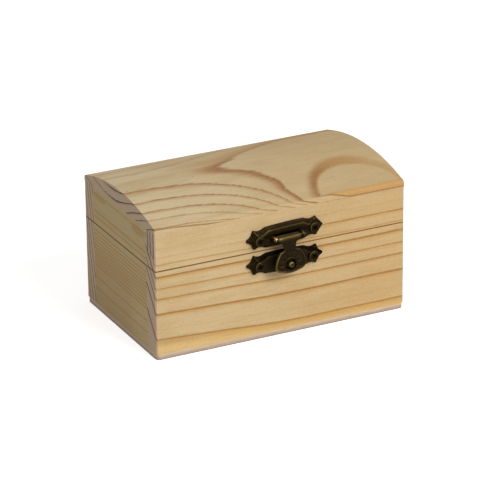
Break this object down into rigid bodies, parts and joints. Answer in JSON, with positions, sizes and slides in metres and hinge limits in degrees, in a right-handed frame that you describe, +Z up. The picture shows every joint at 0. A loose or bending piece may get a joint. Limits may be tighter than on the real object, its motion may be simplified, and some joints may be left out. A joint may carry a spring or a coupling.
{
  "type": "treasure chest box",
  "caption": "Small pine keepsake chest with an arched lid on two back hinges and a swinging hasp latch on the front; the lid opens fully.",
  "frame": {"origin": "middle of the flat bottom face", "axes": "+X along the chest's length to the right, +Y to the back where the hinges are, +Z up; the latch faces -Y"},
  "size_m": [0.1, 0.07, 0.0549],
  "materials": {
    "pine": "bare sanded pine with amber growth lines",
    "plywood": "bare thin plywood",
    "antique_casting": "dark antique bronze casting, rubbed on its edges",
    "brass_stud": "worn bronze with a bright tip",
    "screw_finish": "dark antique bronze screws",
    "hinge_plate": "dark antique bronze sheet",
    "pin_steel": "dull dark wire"
  },
  "bodies": {
    "base": {"base_front_board": "pine", "base_back_board": "pine", "base_left_board": "pine", "base_right_board": "pine", "bottom_panel": "plywood", "catch_plate": "antique_casting", "catch_stud": "brass_stud", "catch_screw_left": "screw_finish", "catch_screw_right": "screw_finish", "left_hinge_base_leaf": "hinge_plate", "left_hinge_base_screws": "screw_finish", "left_hinge_pin": "pin_steel", "right_hinge_base_leaf": "hinge_plate", "right_hinge_base_screws": "screw_finish", "right_hinge_pin": "pin_steel"},
    "lid": {"lid_front_board": "pine", "lid_back_board": "pine", "lid_left_board": "pine", "lid_right_board": "pine", "lid_top_board": "pine", "hasp_plate": "antique_casting", "hasp_screw_left": "screw_finish", "hasp_screw_right": "screw_finish", "hasp_pin": "pin_steel", "left_hinge_lid_leaf": "hinge_plate", "left_hinge_lid_screws": "screw_finish", "right_hinge_lid_leaf": "hinge_plate", "right_hinge_lid_screws": "screw_finish"},
    "hasp": {"hasp_flap": "antique_casting"}
  },
  "joints": [
    {"name": "lid_hinge", "type": "hinge", "parent": "base", "child": "lid", "pos_m": [0, 0.03185, 0.0341], "axis": [-1, 0, 0], "range_deg": [0, 175]},
    {"name": "hasp_pivot", "type": "hinge", "parent": "lid", "child": "hasp", "pos_m": [0.00091, -0.03431, 0.0392], "axis": [-0.9989, 0, -0.0471], "range_deg": [0, 175]}
  ]
}
